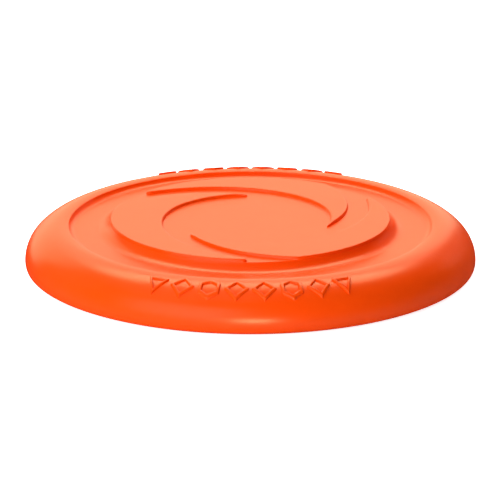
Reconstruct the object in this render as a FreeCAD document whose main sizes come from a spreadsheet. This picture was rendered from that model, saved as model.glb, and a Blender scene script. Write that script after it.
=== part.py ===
import FreeCAD, Part
import math
import os

import Sketcher
from FreeCAD import Rotation, Vector

# A lawn flying disc, moulded in one piece from soft foam. Millimetres, Z up, front towards -Y.
# The origin is on the disc's axis, level with the foot ring that it rests on.
# Each named region of the moulding is one solid, cut at the mould's own steps, and meets its neighbours
# face to face.

# Driving dimensions. A "radius" is measured from the disc's axis, a "height" from the foot ring's face,
# and a "round" is the radius of a rounded stretch of the section.
DIMENSIONS = {
    # raised centre and its flat top
    "plateau_height": 25.4,
    "plateau_edge_radius": 74.7,
    "boss_wall_radius": 74.95,
    "boss_wall_height": 25.0,
    "boss_toe_radius": 81.9,
    "boss_toe_round": 8.0,
    # flight deck between the raised centre and the rim
    "deck_height": 21.0,
    "deck_edge_radius": 92.8,
    # rim, from its inner top edge, over the crest, down its outside and under to the foot
    "rim_toe_round": 4.0,
    "rim_toe_radius": 96.2,
    "rim_toe_height": 22.89,
    "rim_wall_radius": 96.35,
    "rim_wall_height": 23.1,
    "rim_edge_round": 0.8,
    "crest_round": 18.0,
    "crown_round": 25.0,
    "flank_round": 17.5,
    "outer_radius": 120.0,
    "parting_height": 4.86,
    "tuck_round": 7.0,
    "tuck_radius": 119.76,
    "tuck_height": 3.07,
    "lip_round": 2.6,
    "lip_radius": 118.5,
    "lip_height": 1.5,
    "foot_round": 12.5,
    "foot_outer_radius": 112.5,
    "foot_inner_radius": 105.2,
    "foot_edge_round": 1.6,
    "cup_mouth_radius": 103.6,
    "cup_mouth_height": 1.6,
    # hollow underside
    "cup_parting_radius": 103.3,
    "cup_wall_radius": 102.6,
    "cup_wall_height": 10.5,
    "cup_corner_round": 5.4,
    "cup_roof_radius": 97.2,
    "deck_underside": 16.0,
    "boss_recess_radius": 76.0,
    "boss_recess_edge": 71.6,
    "boss_underside": 20.1,
    # swirl: three blades that stand on the flat top, each between an inner and an outer spiral
    "blade_height": 1.6,
    "blade_tip_radius": 42.5,
    "blade_edge_radius": 74.0,
    "blade_tip_cut": 6.0,
    "blade_tail_cut": 5.5,
    "blade_1_tip": 335.0,
    "blade_1_inner_sweep": 171.0,
    "blade_1_inner_power": 2.8,
    "blade_1_outer_sweep": 80.8,
    "blade_1_outer_power": 1.51,
    "blade_2_tip": 86.0,
    "blade_2_inner_sweep": 188.3,
    "blade_2_inner_power": 3.31,
    "blade_2_outer_sweep": 74.0,
    "blade_2_outer_power": 1.5,
    "blade_3_tip": 217.0,
    "blade_3_inner_sweep": 179.0,
    "blade_3_inner_power": 2.7,
    "blade_3_outer_sweep": 72.2,
    "blade_3_outer_power": 1.345,
    # raised figures on the rim, front and rear
    "mark_height": 1.0,
    "mark_circle_radius": 108.6,
    "mark_size": 6.4,
    "mark_stroke": 2.3,
    "mark_pitch": 7.4,
}
# The rim's outside is three tangent arcs. Each angle is the surface's fall, in degrees, where one arc
# hands over to the next: inner edge of the crest, crest to crown, crown to flank, and flank to parting line.
RIM_EDGE_FALL = -8.5
CROWN_FALL = 17.0
FLANK_FALL = 42.0
PARTING_FALL = 90.0
MARK_SIDES = (3, 4, 6, 4, 4, 6, 4, 3)
MARK_BASE_HEIGHT = 8.0
MARK_PRISM_HEIGHT = 20.0
SPIRAL_POINTS = 18

AXIS = Vector(0, 0, 1)


def rim_arc_ends(prefix, lift):
    """Where the rim's three outside arcs meet, lifted off the surface, from the parting line inwards."""
    falls = {"parting": PARTING_FALL, "flank": FLANK_FALL, "crown": CROWN_FALL, "edge": RIM_EDGE_FALL}
    rounds = [DIMENSIONS["flank_round"], DIMENSIONS["crown_round"], DIMENSIONS["crest_round"]]
    centre_radius = DIMENSIONS["outer_radius"] - rounds[0]
    centre_height = DIMENSIONS["parting_height"]
    ends = {}
    names = list(falls)
    for index, name in enumerate(names):
        fall = math.radians(falls[name])
        size = rounds[min(index, len(rounds) - 1)]
        if 0 < index < len(rounds):
            before = rounds[index - 1]
            centre_radius += (before - size) * math.sin(fall)
            centre_height += (before - size) * math.cos(fall)
        ends[f"{prefix}_{name}_radius"] = centre_radius + (size + lift) * math.sin(fall)
        ends[f"{prefix}_{name}_height"] = centre_height + (size + lift) * math.cos(fall)
    return ends


def work_out_rim():
    """The named points of the rim's outside, and of the skin that the raised figures are cut from."""
    lift = DIMENSIONS["mark_height"]
    DIMENSIONS.update(rim_arc_ends("rim", 0))
    DIMENSIONS.update(rim_arc_ends("skin", lift))
    for size in ("flank_round", "crown_round", "crest_round"):
        DIMENSIONS[f"skin_{size}"] = DIMENSIONS[size] + lift


def make_sheet(doc):
    sheet = doc.addObject("Spreadsheet::Sheet", "dims")
    for row, (name, value) in enumerate(DIMENSIONS.items(), start=1):
        sheet.set(f"A{row}", name)
        sheet.set(f"B{row}", str(value))
        sheet.setAlias(f"B{row}", name)
    doc.recompute()
    return sheet


def make_body(doc, label):
    body = doc.addObject("PartDesign::Body", label)
    body.Label = label
    body.Placement = FreeCAD.Placement(Vector(0, 0, 0), Rotation())
    return body


def origin_plane(body, role):
    for feature in body.Origin.OriginFeatures:
        if feature.Role == role:
            return feature
    raise ValueError(f"no plane {role}")


def arc_between(start, end, radius, turn):
    """The arc from start to end, and whether it runs counterclockwise. turn is +1 for a left turn."""
    chord = end - start
    reach = math.sqrt(radius ** 2 - (chord.Length / 2) ** 2)
    across = Vector(-chord.y, chord.x, 0).normalize()
    centre = (start + end) / 2 + across * reach * turn
    angles = [math.atan2(point.y - centre.y, point.x - centre.x) for point in (start, end)]
    if turn < 0:
        angles.reverse()
    return Part.ArcOfCircle(Part.Circle(centre, AXIS, radius), *angles)


def tie(sketch, kind, name, *where):
    """A dimension of the sketch that follows a cell of the sheet."""
    index = sketch.addConstraint(Sketcher.Constraint(kind, *where, DIMENSIONS[name]))
    sketch.setExpression(f"Constraints[{index}]", f"dims.{name}")


def draw_section(body, corners):
    """A closed section in the XZ plane. A corner is (radius name, height name), None for zero, and may
    go on with (round name, turn) when the stretch that leaves it is an arc."""
    sketch = body.newObject("Sketcher::SketchObject", f"{body.Name}_section")
    sketch.AttachmentSupport = (origin_plane(body, "XZ_Plane"), "")
    sketch.MapMode = "FlatFace"
    points = [Vector(DIMENSIONS.get(c[0], 0), DIMENSIONS.get(c[1], 0), 0) for c in corners]
    ends = []
    for index, corner in enumerate(corners):
        start = points[index]
        end = points[(index + 1) % len(points)]
        if len(corner) == 2:
            edge = sketch.addGeometry(Part.LineSegment(start, end))
            ends.append((edge, 1, 2))
            continue
        round_name, turn = corner[2:]
        edge = sketch.addGeometry(arc_between(start, end, DIMENSIONS[round_name], turn))
        ends.append((edge, 1, 2) if turn > 0 else (edge, 2, 1))
    for index, corner in enumerate(corners):
        edge, first, last = ends[index]
        next_edge, next_first, _ = ends[(index + 1) % len(ends)]
        sketch.addConstraint(Sketcher.Constraint("Coincident", edge, last, next_edge, next_first))
        for name, kind, axis in ((corner[0], "DistanceX", -2), (corner[1], "DistanceY", -1)):
            if name is None:
                sketch.addConstraint(Sketcher.Constraint("PointOnObject", edge, first, axis))
            else:
                tie(sketch, kind, name, -1, 1, edge, first)
        if len(corner) > 2:
            tie(sketch, "Radius", corner[2], edge)
    return sketch


def revolve(doc, label, corners):
    body = make_body(doc, label)
    section = draw_section(body, corners)
    turned = body.newObject("PartDesign::Revolution", f"{label}_turned")
    turned.Profile = section
    turned.ReferenceAxis = (section, ["V_Axis"])
    turned.Angle = 360.0
    return body


def make_centre_plate(doc):
    return revolve(doc, "centre_plate", [
        (None, "boss_underside"),
        ("boss_recess_edge", "boss_underside"),
        ("boss_recess_radius", "deck_underside"),
        ("boss_toe_radius", "deck_underside"),
        ("boss_toe_radius", "deck_height", "boss_toe_round", -1),
        ("boss_wall_radius", "boss_wall_height"),
        ("plateau_edge_radius", "plateau_height"),
        (None, "plateau_height"),
    ])


def make_deck_ring(doc):
    return revolve(doc, "deck_ring", [
        ("boss_toe_radius", "deck_underside"),
        ("deck_edge_radius", "deck_underside"),
        ("deck_edge_radius", "deck_height"),
        ("boss_toe_radius", "deck_height"),
    ])


def make_rim_crown(doc):
    return revolve(doc, "rim_crown", [
        ("cup_parting_radius", "parting_height"),
        ("rim_parting_radius", "rim_parting_height", "flank_round", 1),
        ("rim_flank_radius", "rim_flank_height", "crown_round", 1),
        ("rim_crown_radius", "rim_crown_height", "crest_round", 1),
        ("rim_edge_radius", "rim_edge_height", "rim_edge_round", 1),
        ("rim_wall_radius", "rim_wall_height"),
        ("rim_toe_radius", "rim_toe_height", "rim_toe_round", -1),
        ("deck_edge_radius", "deck_height"),
        ("deck_edge_radius", "deck_underside"),
        ("cup_roof_radius", "deck_underside", "cup_corner_round", -1),
        ("cup_wall_radius", "cup_wall_height"),
    ])


def make_rim_foot(doc):
    return revolve(doc, "rim_foot", [
        ("foot_inner_radius", None),
        ("foot_outer_radius", None, "foot_round", 1),
        ("lip_radius", "lip_height", "lip_round", 1),
        ("tuck_radius", "tuck_height", "tuck_round", 1),
        ("outer_radius", "parting_height"),
        ("cup_parting_radius", "parting_height"),
        ("cup_mouth_radius", "cup_mouth_height", "foot_edge_round", 1),
    ])


def polar(radius, degrees, height):
    turn = math.radians(degrees)
    return Vector(radius * math.cos(turn), radius * math.sin(turn), height)


def spiral(sheet, start_angle, sweep, power, tail_cut=0.0):
    """A curve on the flat top that leaves the tip circle slowly and would end on the boss wall's foot line."""
    tip = sheet.blade_tip_radius
    edge = sheet.plateau_edge_radius
    points = []
    for step in range(SPIRAL_POINTS + 1):
        angle = sheet.blade_tip_cut + (sweep - tail_cut - sheet.blade_tip_cut) * step / SPIRAL_POINTS
        radius = tip + (edge - tip) * (angle / sweep) ** power
        points.append(polar(radius, start_angle + angle, sheet.plateau_height))
    curve = Part.BSplineCurve()
    curve.interpolate(points)
    return curve.toShape(), points[0], points[-1]


def make_blade(doc, sheet, number):
    """One crescent of the swirl: the band between its two spirals, with the boss wall's slope outside."""
    cell = {part: getattr(sheet, f"blade_{number}_{part}")
            for part in ("tip", "inner_sweep", "inner_power", "outer_sweep", "outer_power")}
    inner, inner_tip, inner_end = spiral(sheet, cell["tip"], cell["inner_sweep"], cell["inner_power"],
                                         sheet.blade_tail_cut)
    outer, outer_tip, outer_end = spiral(sheet, cell["tip"], cell["outer_sweep"], cell["outer_power"])
    middle = cell["tip"] + (cell["inner_sweep"] + cell["outer_sweep"]) / 2
    on_edge = polar(sheet.plateau_edge_radius, middle, sheet.plateau_height)
    tail_end = polar(sheet.plateau_edge_radius, cell["tip"] + cell["inner_sweep"] - sheet.blade_tail_cut,
                     sheet.plateau_height)
    tail = Part.LineSegment(inner_end, tail_end).toShape()
    edge = Part.Arc(tail_end, on_edge, outer_end).toShape()
    tip = Part.LineSegment(outer_tip, inner_tip).toShape()
    outline = Part.Wire([inner, tail, edge, outer, tip])
    blank = Part.Face(outline).extrude(AXIS * sheet.blade_height)
    slope = Part.makeCone(sheet.plateau_edge_radius, sheet.blade_edge_radius, sheet.blade_height,
                          Vector(0, 0, sheet.plateau_height))
    blade = doc.addObject("Part::Feature", f"swirl_blade_{number}")
    blade.Label = f"swirl_blade_{number}"
    blade.Shape = blank.common(slope).Solids[0]
    blade.Placement = FreeCAD.Placement(Vector(0, 0, 0), Rotation())
    return blade


def make_mark_skin(doc, name):
    """A closed skin on the rim's outside, as thick as the raised figures are high."""
    return revolve(doc, name, [
        ("rim_edge_radius", "rim_edge_height", "crest_round", -1),
        ("rim_crown_radius", "rim_crown_height", "crown_round", -1),
        ("rim_flank_radius", "rim_flank_height", "flank_round", -1),
        ("rim_parting_radius", "rim_parting_height"),
        ("skin_parting_radius", "skin_parting_height", "skin_flank_round", 1),
        ("skin_flank_radius", "skin_flank_height", "skin_crown_round", 1),
        ("skin_crown_radius", "skin_crown_height", "skin_crest_round", 1),
        ("skin_edge_radius", "skin_edge_height"),
    ])


def make_figure(doc, name, sides, angle):
    """An upright tube with flat sides, one corner pointing outwards, that cuts one mark from the skin."""
    prisms = []
    for suffix, size in (("outer", "dims.mark_size"), ("inner", "dims.mark_size - dims.mark_stroke")):
        prism = doc.addObject("Part::Prism", f"{name}_{suffix}")
        prism.Polygon = sides
        prism.Height = MARK_PRISM_HEIGHT
        prism.setExpression("Circumradius", size)
        prism.setExpression("Placement.Base.x", f"dims.mark_circle_radius * cos({angle} deg)")
        prism.setExpression("Placement.Base.y", f"dims.mark_circle_radius * sin({angle} deg)")
        prism.Placement = FreeCAD.Placement(Vector(0, 0, MARK_BASE_HEIGHT), Rotation(AXIS, angle))
        prisms.append(prism)
    figure = doc.addObject("Part::Cut", name)
    figure.Base, figure.Tool = prisms
    return figure


def make_marks(doc, sheet, label, middle_angle):
    """A row of plain raised figures, evenly spaced along the rim."""
    figures = []
    for index, sides in enumerate(MARK_SIDES):
        angle = middle_angle + (index - (len(MARK_SIDES) - 1) / 2) * sheet.mark_pitch
        figures.append(make_figure(doc, f"{label}_{index + 1}", sides, angle))
    group = doc.addObject("Part::Compound", f"{label}_figures")
    group.Links = figures
    marks = doc.addObject("Part::Common", label)
    marks.Base = make_mark_skin(doc, f"{label}_skin")
    marks.Tool = group
    marks.Label = label
    return marks


def check(doc, sub_parts):
    for item in doc.Objects:
        if "Invalid" in item.State or "Error" in item.State:
            raise RuntimeError(f"{item.Name} failed: {item.State}")
    for item in sub_parts:
        if item.Shape.isNull() or not item.Shape.isValid():
            raise RuntimeError(f"{item.Label} has no valid shape")


def main():
    work_out_rim()
    doc = FreeCAD.newDocument("flying_disc")
    sheet = make_sheet(doc)
    sub_parts = [
        make_centre_plate(doc),
        make_deck_ring(doc),
        make_rim_crown(doc),
        make_rim_foot(doc),
        make_marks(doc, sheet, "front_marks", 270.0),
        make_marks(doc, sheet, "rear_marks", 90.0),
    ]
    sub_parts += [make_blade(doc, sheet, number) for number in (1, 2, 3)]
    doc.recompute()
    check(doc, sub_parts)
    os.makedirs("parts", exist_ok=True)
    for item in sub_parts:
        item.Shape.exportStep(f"parts/{item.Label}.step")
        box = item.Shape.BoundBox
        print(f"{item.Label}: {len(item.Shape.Solids)} solid(s), {item.Shape.Volume / 1000:.2f} cm3, "
              f"z {box.ZMin:.2f} to {box.ZMax:.2f}, x {box.XMin:.1f} to {box.XMax:.1f}")


main()
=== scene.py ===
import math

import bmesh
import bpy
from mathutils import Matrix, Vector


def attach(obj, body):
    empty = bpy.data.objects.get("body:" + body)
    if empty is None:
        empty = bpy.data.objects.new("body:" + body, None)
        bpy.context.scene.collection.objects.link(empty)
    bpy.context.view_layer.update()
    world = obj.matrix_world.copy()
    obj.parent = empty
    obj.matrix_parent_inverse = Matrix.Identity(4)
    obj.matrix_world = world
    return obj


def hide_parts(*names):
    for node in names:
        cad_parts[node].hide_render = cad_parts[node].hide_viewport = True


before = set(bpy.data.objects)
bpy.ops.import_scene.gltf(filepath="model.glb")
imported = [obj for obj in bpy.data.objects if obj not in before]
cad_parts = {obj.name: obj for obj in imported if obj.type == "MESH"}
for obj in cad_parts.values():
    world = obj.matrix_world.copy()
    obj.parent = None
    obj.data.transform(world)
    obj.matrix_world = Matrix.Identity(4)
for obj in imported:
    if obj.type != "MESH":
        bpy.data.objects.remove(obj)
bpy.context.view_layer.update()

# A lawn flying disc, moulded in one piece from soft foam. Sizes here are in millimetres, and points are
# written in metres. Every ring of the moulding is turned from its section, a closed line of corners
# (radius, height) that runs anticlockwise. A corner may carry (round, bend), for a stretch to the next
# corner that is an arc of that radius: bend 1 bulges out of the foam, and -1 hollows it.
MM = 0.001
RING_SEGMENTS = 288
# the longest step along an arc, and how far a guard point stands from its corner
ARC_STEP, GUARD = 0.45, 0.3
SHARP_EDGE = math.radians(36)
WELD = 1e-6

# The rim's outside is three tangent arcs, and FALLS holds the surface's fall where each hands over.
FLANK_ROUND, CROWN_ROUND, CREST_ROUND = 17.5, 25.0, 18.0
FALLS = {"flank": 42.0, "crown": 17.0, "edge": -8.5}
PARTING = (120.0, 4.86)

BOSS_UNDERSIDE, DECK_UNDERSIDE = 20.1, 16.0
PLATEAU_EDGE, PLATEAU_HEIGHT = 74.7, 25.4
BOSS_TOE, DECK_EDGE, DECK_HEIGHT = 81.9, 92.8, 21.0

# The blades start on the tip circle. Both cuts and the ends' rounding are in degrees round the disc.
BLADE_TIP_RADIUS, BLADE_TIP_CUT, BLADE_TAIL_CUT, BLADE_END_ROUND = 42.5, 6.0, 5.5, 1.6
BLADE_STEPS = 150
# how far the steps crowd towards a blade's two ends, and how soon its height thins out with its width
BLADE_CROWDING, BLADE_THINNING = 0.35, 0.35
# tip angle, inner line's sweep and power, outer line's sweep and power
BLADES = {
    1: (335.0, 171.0, 2.8, 80.8, 1.51),
    2: (86.0, 188.3, 3.31, 74.0, 1.5),
    3: (217.0, 179.0, 2.7, 72.2, 1.345),
}

# The figures' numbers of sides, from each end of a row to its middle.
FIGURE_SIDES = (3, 4, 6, 4)
FIGURE_CIRCLE, FIGURE_PITCH, FIGURE_STEPS = 108.6, 7.4, 96
# where a figure's corners are cut off, as a share of their reach, and how softly
CORNER_REACH, CORNER_SOFTNESS = 0.985, 0.05

FOAM_DEEP = (0.96, 0.0620, 0.0010, 1.0)
FOAM_LIGHT = (1.0, 0.0710, 0.0016, 1.0)
FOAM_ROUGHNESS = 0.27
FOAM_IOR = 1.36
FOAM_GLOSS_TINT = (1.0, 1.0, 0.7, 1.0)
# the floor's half width, and the light it adds to the disc and to the camera
FLOOR_REACH = 12.0
FLOOR_GLOW = (0.12, 0.12, 0.12, 1.0)
FLOOR_SEEN = (0.85, 0.85, 0.85, 1.0)
ROOM_LEVEL = 0.025
# what the lights face, and the camera
AIM = Vector((0.0, 0.0, 0.01))
CAMERA_PLACE = Vector((0.0, -1.9109, 0.6120))
CAMERA_AIM = Vector((-0.00019, -0.0037, 0.0096))
CAMERA_LENS, CAMERA_SENSOR = 270.55, 36.0
# name: around, up, distance, width, height, power, lights the matt colour, shows in the gloss, colour
LIGHTS = {
    "rear_softbox": (-167.0, 20.0, 2.4, 2.9, 2.0, 23.5, False, True, (1.0, 1.0, 0.62)),
    "high_softbox": (-180.0, 57.0, 2.4, 2.3, 0.9, 38.0, False, True, (1.0, 1.0, 0.62)),
    "rear_fill": (180.0, 45.0, 2.2, 1.8, 1.4, 34.0, True, False),
    "front_left_key": (-36.0, 26.0, 2.0, 1.9, 1.4, 37.0, True, False),
    "overhead_fill": (-90.0, 72.0, 2.0, 1.6, 1.6, 12.0, True, False),
    "left_fill": (-110.0, 25.0, 2.2, 1.4, 1.2, 7.0, True, False),
    "right_fill": (146.0, 16.0, 2.2, 1.2, 0.9, 30.0, True, False),
    "front_fill": (-20.0, 9.0, 2.4, 1.2, 0.6, 3.0, True, False),
    "front_spot": (2.0, 6.0, 2.6, 0.7, 0.36, 22.0, False, True, (1.0, 1.0, 0.7)),
}


def shifted(centre, size, fall):
    """The point of an arc where the surface has this fall."""
    angle = math.radians(fall)
    return centre[0] + size * math.sin(angle), centre[1] + size * math.cos(angle)


def rim_arcs():
    """Centre and radius of the rim's three outside arcs, each tangent to the next."""
    flank = (PARTING[0] - FLANK_ROUND, PARTING[1])
    crown = shifted(flank, FLANK_ROUND - CROWN_ROUND, FALLS["flank"])
    crest = shifted(crown, CROWN_ROUND - CREST_ROUND, FALLS["crown"])
    return {"Flank": (flank, FLANK_ROUND), "Crown": (crown, CROWN_ROUND), "Crest": (crest, CREST_ROUND)}


RIM_ARCS = rim_arcs()
SECTIONS = {
    "centre_plate": [
        ((0.0, BOSS_UNDERSIDE), None),
        ((71.6, BOSS_UNDERSIDE), None),
        ((76.0, DECK_UNDERSIDE), None),
        ((BOSS_TOE, DECK_UNDERSIDE), None),
        ((BOSS_TOE, DECK_HEIGHT), (8.0, -1)),
        ((74.95, 25.0), None),
        ((PLATEAU_EDGE, PLATEAU_HEIGHT), None),
        ((0.0, PLATEAU_HEIGHT), None),
    ],
    "deck_ring": [
        ((BOSS_TOE, DECK_UNDERSIDE), None),
        ((DECK_EDGE, DECK_UNDERSIDE), None),
        ((DECK_EDGE, DECK_HEIGHT), None),
        ((BOSS_TOE, DECK_HEIGHT), None),
    ],
    "rim": [
        ((105.2, 0.0), None),
        ((112.5, 0.0), (12.5, 1)),
        ((118.5, 1.5), (2.6, 1)),
        ((119.76, 3.07), (7.0, 1)),
        (PARTING, (FLANK_ROUND, 1)),
        (shifted(*RIM_ARCS["Flank"], FALLS["flank"]), (CROWN_ROUND, 1)),
        (shifted(*RIM_ARCS["Crown"], FALLS["crown"]), (CREST_ROUND, 1)),
        (shifted(*RIM_ARCS["Crest"], FALLS["edge"]), (0.8, 1)),
        ((96.35, 23.1), None),
        ((96.2, 22.89), (4.0, -1)),
        ((DECK_EDGE, DECK_HEIGHT), None),
        ((DECK_EDGE, DECK_UNDERSIDE), None),
        ((97.2, DECK_UNDERSIDE), (5.4, -1)),
        ((102.6, 10.5), None),
        ((103.3, 4.86), None),
        ((103.6, 1.6), (1.6, 1)),
    ],
}

# A blade's cross-section: (in from its own line, height), up the inner wall and down the outer wall.
INNER_WALL = [(-0.18, -0.05), (-0.04, 0.06), (0.10, 0.30), (0.34, 0.85), (0.50, 1.22), (0.68, 1.44),
              (0.95, 1.56), (1.35, 1.60), (1.65, 1.60)]
OUTER_WALL = [(1.30, 1.60), (1.02, 1.60), (0.78, 1.55), (0.63, 1.43), (0.55, 1.25), (0.28, 0.64),
              (0.0, 0.0), (0.0, -0.05)]
# A raised figure's cross-section: (size of the ring of corners, lift off the rim).
FIGURE_SECTION = [(6.44, -0.30), (6.40, 0.28), (6.34, 0.58), (6.18, 0.82), (5.92, 0.95), (5.60, 1.0),
                  (5.25, 1.0), (4.90, 1.0), (4.58, 0.95), (4.32, 0.82), (4.16, 0.58), (4.10, 0.28),
                  (4.06, -0.30)]


def arc_points(start, end, size, bend):
    """Points along an arc after start, up to and without end."""
    chord = Vector(end) - Vector(start)
    half = chord.length / 2
    middle = (Vector(start) + Vector(end)) / 2
    to_centre = Vector((-chord.y, chord.x)).normalized() * bend * math.sqrt(size * size - half * half)
    centre = middle + to_centre
    first = math.atan2(start[1] - centre.y, start[0] - centre.x)
    sweep = 2 * math.asin(half / size) * bend
    steps = max(3, math.ceil(abs(sweep) * size / ARC_STEP))
    angles = [first + sweep * step / steps for step in range(1, steps)]
    return [(centre.x + size * math.cos(a), centre.y + size * math.sin(a)) for a in angles]


def section_points(corners):
    """The section's corners, its arcs' points, and a guard point near each end of a straight stretch."""
    points = []
    for (start, bow), (end, _) in zip(corners, corners[1:] + corners[:1]):
        points.append(start)
        length = math.dist(start, end)
        if bow:
            points += arc_points(start, end, *bow)
        elif length > 4 * GUARD and start[0] + end[0] > 0:
            share = GUARD / length
            for t in (share, 1 - share):
                points.append((start[0] + (end[0] - start[0]) * t, start[1] + (end[1] - start[1]) * t))
    return points


class Socket:
    """A node's output. Arithmetic on it adds Math nodes to its tree."""

    def __init__(self, graph, output):
        self.graph = graph
        self.output = output

    def math(self, operation, *others):
        return self.graph.add("ShaderNodeMath", [self, *others], operation=operation)

    def __add__(self, other):
        return self.math("ADD", other)

    __radd__ = __add__

    def __sub__(self, other):
        return self.math("SUBTRACT", other)

    def __rsub__(self, other):
        return self.graph.add("ShaderNodeMath", [other, self], operation="SUBTRACT")

    def __mul__(self, other):
        return self.math("MULTIPLY", other)

    __rmul__ = __mul__

    def __truediv__(self, other):
        return self.math("DIVIDE", other)

    def __rtruediv__(self, other):
        return self.graph.add("ShaderNodeMath", [other, self], operation="DIVIDE")

    def __pow__(self, other):
        return self.math("POWER", other)


class Graph:
    """A node tree under construction."""

    def __init__(self, tree):
        self.tree = tree

    def add(self, kind, inputs=(), output=0, **settings):
        """One node: its type, its settings, and then the values or links of its sockets."""
        node = self.tree.nodes.new(kind)
        for name, value in settings.items():
            setattr(node, name, value)
        pairs = inputs.items() if isinstance(inputs, dict) else enumerate(inputs)
        for key, value in pairs:
            if isinstance(value, Socket):
                self.tree.links.new(value.output, node.inputs[key])
            else:
                node.inputs[key].default_value = value
        return Socket(self, node.outputs[output]) if node.outputs else None


class Build(Graph):
    """A Geometry Nodes tree with named inputs."""

    def __init__(self, name, **inputs):
        super().__init__(bpy.data.node_groups.new(name, "GeometryNodeTree"))
        sockets = {"Geometry": "Geometry", "Material": "Material"}
        sockets.update({label.replace("_", " "): kind for label, kind in inputs.items()})
        for label, kind in sockets.items():
            self.tree.interface.new_socket(label, in_out="INPUT", socket_type=f"NodeSocket{kind}")
        self.tree.interface.new_socket("Geometry", in_out="OUTPUT", socket_type="NodeSocketGeometry")
        self.entry = self.tree.nodes.new("NodeGroupInput")

    def given(self, label):
        return Socket(self, self.entry.outputs[label])

    def parts(self, vector):
        """The three numbers of a vector."""
        first = self.add("ShaderNodeSeparateXYZ", [vector])
        return [Socket(self, output) for output in first.output.node.outputs]

    def grid(self, rows, columns):
        """A sheet whose points stand one unit apart, centred on zero."""
        return self.add("GeometryNodeMeshGrid", {
            "Size X": rows - 1, "Size Y": columns - 1, "Vertices X": rows, "Vertices Y": columns})

    def outline_at(self, row):
        """The numbers that the section's point in this row holds."""
        number = self.add("FunctionNodeFloatToInt", [row], rounding_mode="ROUND")
        position = self.add("GeometryNodeInputPosition")
        return self.parts(self.add("GeometryNodeSampleIndex", {
            "Geometry": self.given("Geometry"), "Value": position, "Index": number},
            data_type="FLOAT_VECTOR", domain="POINT"))

    def rows(self):
        return self.add("GeometryNodeAttributeDomainSize", [self.given("Geometry")], "Point Count",
                        component="MESH")

    def place(self, geometry, x, y, z):
        point = self.add("ShaderNodeCombineXYZ", [x, y, z])
        return self.add("GeometryNodeSetPosition", {"Geometry": geometry, "Position": point})

    def close(self, geometry):
        """Welds seams and poles, then ends the tree."""
        welded = self.add("GeometryNodeMergeByDistance", {"Geometry": geometry, "Distance": WELD})
        smooth = self.add("GeometryNodeSetShadeSmooth", {"Geometry": welded, "Shade Smooth": True})
        real = self.add("GeometryNodeRealizeInstances", [smooth])
        finished = self.add("GeometryNodeSetMaterial", {
            "Geometry": real, "Material": self.given("Material")})
        end = self.tree.nodes.new("NodeGroupOutput")
        self.tree.links.new(finished.output, end.inputs["Geometry"])
        return self.tree


def ring_tree():
    """Turns a section about the disc's axis."""
    build = Build("turned_ring", Segments="Int")
    rows, segments = build.rows(), build.given("Segments")
    x, y, _ = build.parts(build.add("GeometryNodeInputPosition"))
    radius, _, height = build.outline_at(x + (rows - 1) / 2)
    turn = (y / segments) * math.tau
    ring = build.place(build.grid(rows, segments + 1), radius * turn.math("COSINE"),
                       radius * turn.math("SINE"), height)
    return build.close(ring)


def blade_tree():
    """A crescent between two spirals that leave one circle slowly and end on a larger one."""
    build = Build("swirl_blade", Steps="Int", Tip_Angle="Float", Inner_Sweep="Float", Inner_Power="Float",
                  Outer_Sweep="Float", Outer_Power="Float", Tip_Radius="Float", Edge_Radius="Float",
                  Tip_Cut="Float", Tail_Cut="Float", End_Round="Float", Base_Height="Float",
                  Shoulders="Float")
    rows, steps = build.rows(), build.given("Steps")
    x, y, _ = build.parts(build.add("GeometryNodeInputPosition"))
    set_in, side, height = build.outline_at(x + (rows - 1) / 2)
    along = (y / steps + 0.5).math("MINIMUM", 1.0).math("MAXIMUM", 0.0)
    along = along * along * (3 - 2 * along) * BLADE_CROWDING + along * (1 - BLADE_CROWDING)
    tip, edge, cut = build.given("Tip Radius"), build.given("Edge Radius"), build.given("Tip Cut")
    tail = build.given("Inner Sweep") - build.given("Tail Cut")
    swept = cut + (tail - cut) * along
    reach = edge - tip
    inner = tip + reach * (swept / build.given("Inner Sweep")) ** build.given("Inner Power")
    outer_share = (swept / build.given("Outer Sweep")).math("MINIMUM", 1.0)
    outer = tip + reach * outer_share ** build.given("Outer Power")
    width = (outer - inner).math("MAXIMUM", 0.0)
    from_end = (swept - cut).math("MINIMUM", tail - swept).math("MAXIMUM", 0.0)
    blunt = (from_end / build.given("End Round")).math("MINIMUM", 1.0) ** 0.5
    fit = (width / build.given("Shoulders")).math("MINIMUM", 1.0) * blunt
    middle = (inner + outer) / 2
    half = width / 2 * blunt - set_in * fit
    radius = middle + half * (side * 2 - 1)
    turn = (build.given("Tip Angle") + swept) * (math.pi / 180)
    rise = build.given("Base Height") + height * fit ** BLADE_THINNING
    blade = build.place(build.grid(rows, steps + 1), radius * turn.math("COSINE"),
                        radius * turn.math("SINE"), rise)
    return build.close(blade)


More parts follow.
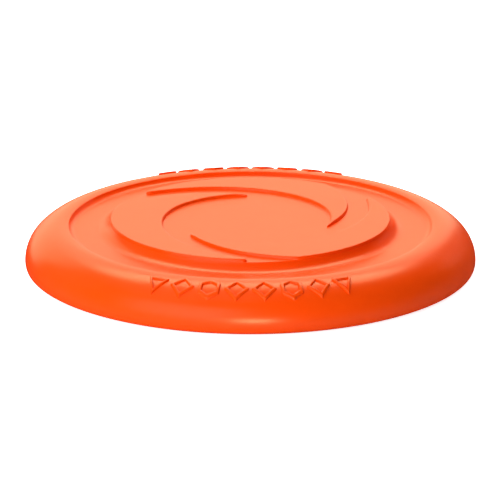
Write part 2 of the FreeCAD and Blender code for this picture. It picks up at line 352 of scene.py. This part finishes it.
def figure_tree():
    """A row of raised outlined figures that follow the rim's three arcs."""
    arcs = {f"{name}_{size}": "Float" for name in RIM_ARCS for size in ("Radius", "Height", "Round")}
    build = Build("rim_figures", Steps="Int", Middle_Angle="Float", Pitch="Float", Circle_Radius="Float",
                  First_Sides="Int", Second_Sides="Int", Third_Sides="Int", Fourth_Sides="Int",
                  Corner_Softness="Float", Flank_Fall="Float", Crown_Fall="Float", **arcs)
    rows, steps = build.rows(), build.given("Steps")
    count = 2 * len(FIGURE_SIDES)
    places = build.add("GeometryNodeMeshLine", {"Count": count, "Offset": (0.0, 0.0, 1.0)})
    row = build.add("GeometryNodeInstanceOnPoints", {
        "Points": places, "Instance": build.grid(rows, steps + 1)})
    sheets = build.add("GeometryNodeRealizeInstances", [row])
    x, y, number = build.parts(build.add("GeometryNodeInputPosition"))
    size, _, lift = build.outline_at(x + (rows - 1) / 2)
    kind = number.math("MINIMUM", count - 1 - number)
    choose = build.tree.nodes.new("GeometryNodeIndexSwitch")
    choose.data_type = "FLOAT"
    while len(choose.index_switch_items) < len(FIGURE_SIDES):
        choose.index_switch_items.new()
    whole = build.add("FunctionNodeFloatToInt", [kind], rounding_mode="ROUND")
    build.tree.links.new(whole.output, choose.inputs["Index"])
    for index, label in enumerate(("First", "Second", "Third", "Fourth")):
        build.tree.links.new(build.given(f"{label} Sides").output, choose.inputs[index + 1])
    sides = Socket(build, choose.outputs[0])
    turn = (y / steps) * math.tau
    flat = math.tau / sides
    off_middle = turn.math("FLOORED_MODULO", flat) - flat / 2
    share = (flat / 2).math("COSINE") / off_middle.math("COSINE")
    share = share.math("SMOOTH_MIN", CORNER_REACH, build.given("Corner Softness"))
    outward = build.given("Circle Radius") + size * share * turn.math("COSINE")
    sideways = size * share * turn.math("SINE")
    facing = build.given("Middle Angle") + (number - (count - 1) / 2) * build.given("Pitch")
    facing = facing * (math.pi / 180)
    cosine, sine = facing.math("COSINE"), facing.math("SINE")
    radius = (outward * outward + sideways * sideways) ** 0.5
    heights, rounds, centres = {}, {}, {}
    for name in RIM_ARCS:
        centres[name], rounds[name] = build.given(f"{name} Radius"), build.given(f"{name} Round") + lift
        away = radius - centres[name]
        under_root = (rounds[name] * rounds[name] - away * away).math("MAXIMUM", 0.0)
        heights[name] = build.given(f"{name} Height") + under_root ** 0.5
    flank_start = centres["Flank"] + rounds["Flank"] * build.given("Flank Fall").math("SINE")
    crown_start = centres["Crown"] + rounds["Crown"] * build.given("Crown Fall").math("SINE")
    on_flank = radius.math("GREATER_THAN", flank_start)
    on_crown = radius.math("GREATER_THAN", crown_start)
    upper = heights["Crest"] + (heights["Crown"] - heights["Crest"]) * on_crown
    height = upper + (heights["Flank"] - upper) * on_flank
    figures = build.place(sheets, outward * cosine - sideways * sine, outward * sine + sideways * cosine,
                          height)
    return build.close(figures)


def tidy(mesh):
    """Welds doubles, turns every face outwards and keeps the crisp edges crisp."""
    work = bmesh.new()
    work.from_mesh(mesh)
    bmesh.ops.remove_doubles(work, verts=work.verts, dist=WELD)
    bmesh.ops.dissolve_degenerate(work, edges=work.edges, dist=WELD)
    bmesh.ops.recalc_face_normals(work, faces=work.faces)
    work.to_mesh(mesh)
    work.free()
    mesh.set_sharp_from_angle(angle=SHARP_EDGE)


def grow(name, tree, outline, nodes, **values):
    """Runs a tree on an outline and leaves a plain mesh that rides the disc and stands for its nodes."""
    seed = bpy.data.meshes.new(f"{name}_outline")
    seed.from_pydata(outline, [], [])
    piece = bpy.data.objects.new(name, seed)
    bpy.context.scene.collection.objects.link(piece)
    modifier = piece.modifiers.new("build", "NODES")
    modifier.node_group = tree
    labels = {label.replace("_", " "): value for label, value in values.items()}
    labels["Material"] = FOAM
    for item in tree.interface.items_tree:
        if item.in_out == "INPUT" and item.name in labels:
            modifier[item.identifier] = labels[item.name]
    evaluated = piece.evaluated_get(bpy.context.evaluated_depsgraph_get())
    mesh = bpy.data.meshes.new_from_object(evaluated)
    piece.modifiers.remove(modifier)
    piece.data = mesh
    bpy.data.meshes.remove(seed)
    mesh.name = name
    tidy(mesh)
    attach(piece, "root")
    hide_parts(*nodes)
    return piece


def make_foam():
    """Orange closed-cell foam with the satin skin that the mould leaves on it."""
    material = bpy.data.materials.new("orange_moulded_foam")
    material.use_nodes = True
    material.node_tree.nodes.clear()
    graph = Graph(material.node_tree)
    place = graph.add("ShaderNodeTexCoord", output="Object")

    def noise(scale, detail, roughness=0.5):
        return graph.add("ShaderNodeTexNoise", {
            "Vector": place, "Scale": scale, "Detail": detail, "Roughness": roughness})

    def blend(share, first, second):
        """A colour between two colours."""
        return graph.add("ShaderNodeMix", {0: share, 6: first, 7: second}, 2, data_type="RGBA")

    cloud, mottle, skin = noise(26.0, 3.0), noise(210.0, 4.0, 0.6), noise(1500.0, 3.0)
    shade = (cloud - 0.5) * 0.9 + (mottle - 0.5) * 0.6 + 0.5
    colour = blend(shade, FOAM_DEEP, FOAM_LIGHT)
    unevenness = graph.add("ShaderNodeBump", {"Strength": 0.1, "Distance": 0.00005, "Height": mottle})
    grain = graph.add("ShaderNodeBump", {
        "Strength": 0.08, "Distance": 0.00003, "Height": skin, "Normal": unevenness})
    foam = graph.add("ShaderNodeBsdfPrincipled", {
        "Base Color": colour, "Roughness": FOAM_ROUGHNESS, "Normal": grain, "IOR": FOAM_IOR,
        "Specular Tint": FOAM_GLOSS_TINT})
    graph.add("ShaderNodeOutputMaterial", {"Surface": foam})
    return material


def make_floor():
    """A wide pale studio floor that is close to white to the camera and dim to the disc."""
    mesh = bpy.data.meshes.new("studio_floor")
    reach = FLOOR_REACH
    corners = [(-reach, -reach, 0), (reach, -reach, 0), (reach, reach, 0), (-reach, reach, 0)]
    mesh.from_pydata(corners, [], [(0, 1, 2, 3)])
    floor = bpy.data.objects.new("studio_floor", mesh)
    bpy.context.scene.collection.objects.link(floor)
    material = bpy.data.materials.new("pale_paper")
    material.use_nodes = True
    material.node_tree.nodes.clear()
    graph = Graph(material.node_tree)
    seen = graph.add("ShaderNodeLightPath", output="Is Camera Ray")
    glow = graph.add("ShaderNodeMix", {0: seen, 6: FLOOR_GLOW, 7: FLOOR_SEEN}, 2, data_type="RGBA")
    paper = graph.add("ShaderNodeBsdfPrincipled", {
        "Base Color": (0.9, 0.9, 0.9, 1.0), "Roughness": 0.9, "Specular IOR Level": 0.1,
        "Emission Color": glow, "Emission Strength": 1.0})
    graph.add("ShaderNodeOutputMaterial", {"Surface": paper})
    mesh.materials.append(material)
    floor.visible_glossy = False


def make_world():
    """White surroundings to the camera, and a dimmer room for light and reflections."""
    world = bpy.data.worlds.new("studio")
    world.use_nodes = True
    world.node_tree.nodes.clear()
    graph = Graph(world.node_tree)
    seen = graph.add("ShaderNodeLightPath", output="Is Camera Ray")
    room = graph.add("ShaderNodeBackground", {"Color": (1.0, 1.0, 1.0, 1.0), "Strength": ROOM_LEVEL})
    white = graph.add("ShaderNodeBackground", {"Color": (1.0, 1.0, 1.0, 1.0), "Strength": 1.0})
    both = graph.add("ShaderNodeMixShader", {0: seen, 1: room, 2: white})
    graph.add("ShaderNodeOutputWorld", {"Surface": both})
    bpy.context.scene.world = world


def make_light(name, around, up, distance, width, height, power, diffuse, gloss, colour=(1.0, 1.0, 1.0)):
    """A soft box that faces the disc. Angles are in degrees: around from the front towards the right."""
    data = bpy.data.lights.new(name, "AREA")
    data.shape = "RECTANGLE"
    data.size, data.size_y, data.energy, data.color = width, height, power, colour
    light = bpy.data.objects.new(name, data)
    bpy.context.scene.collection.objects.link(light)
    turn, lift = math.radians(around), math.radians(up)
    away = Vector((math.sin(turn) * math.cos(lift), -math.cos(turn) * math.cos(lift), math.sin(lift)))
    light.location = away * distance + AIM
    light.rotation_euler = away.to_track_quat("Z", "Y").to_euler()
    light.visible_diffuse, light.visible_glossy, light.visible_camera = diffuse, gloss, False


def make_camera():
    data = bpy.data.cameras.new("camera")
    data.lens, data.sensor_width = CAMERA_LENS, CAMERA_SENSOR
    data.clip_end = 50.0
    camera = bpy.data.objects.new("camera", data)
    bpy.context.scene.collection.objects.link(camera)
    camera.location = CAMERA_PLACE
    camera.rotation_euler = (CAMERA_PLACE - CAMERA_AIM).to_track_quat("Z", "Y").to_euler()
    bpy.context.scene.camera = camera


def make_rings():
    tree = ring_tree()
    nodes = {"rim": ("rim_crown", "rim_foot")}
    for name, corners in SECTIONS.items():
        outline = [(radius * MM, 0.0, height * MM) for radius, height in section_points(corners)]
        if name != "centre_plate":  # its section starts and ends on the axis
            outline += outline[:1]
        grow(name, tree, outline, nodes.get(name, (name,)), Segments=RING_SEGMENTS)


def make_blades():
    tree = blade_tree()
    walls = [(set_in * MM, 0.0, height * MM) for set_in, height in INNER_WALL]
    walls += [(set_in * MM, 1.0, height * MM) for set_in, height in OUTER_WALL]
    shoulders = (max(x for x, _ in INNER_WALL) + max(x for x, _ in OUTER_WALL)) * MM
    for number, (tip, inner_sweep, inner_power, outer_sweep, outer_power) in BLADES.items():
        grow(f"swirl_blade_{number}", tree, walls + walls[:1], (f"swirl_blade_{number}",),
             Steps=BLADE_STEPS, Tip_Angle=tip, Inner_Sweep=inner_sweep, Inner_Power=inner_power,
             Outer_Sweep=outer_sweep, Outer_Power=outer_power, Tip_Radius=BLADE_TIP_RADIUS * MM,
             Edge_Radius=PLATEAU_EDGE * MM, Tip_Cut=BLADE_TIP_CUT, Base_Height=PLATEAU_HEIGHT * MM,
             Tail_Cut=BLADE_TAIL_CUT, End_Round=BLADE_END_ROUND, Shoulders=shoulders)


def make_figures():
    tree = figure_tree()
    outline = [(size * MM, 0.0, lift * MM) for size, lift in FIGURE_SECTION]
    arcs = {}
    for name, ((radius, height), size) in RIM_ARCS.items():
        arcs.update({
            f"{name}_Radius": radius * MM, f"{name}_Height": height * MM, f"{name}_Round": size * MM})
    sides = dict(zip(("First_Sides", "Second_Sides", "Third_Sides", "Fourth_Sides"), FIGURE_SIDES))
    for name, middle in (("front_marks", 270.0), ("rear_marks", 90.0)):
        grow(name, tree, outline + outline[:1], (name,), Steps=FIGURE_STEPS, Middle_Angle=middle,
             Pitch=FIGURE_PITCH, Circle_Radius=FIGURE_CIRCLE * MM, Corner_Softness=CORNER_SOFTNESS,
             Flank_Fall=math.radians(FALLS["flank"]), Crown_Fall=math.radians(FALLS["crown"]),
             **sides, **arcs)


FOAM = make_foam()
make_rings()
make_blades()
make_figures()
make_floor()
make_world()
for name, settings in LIGHTS.items():
    make_light(name, *settings)
make_camera()
bpy.context.scene.view_settings.view_transform = "Standard"
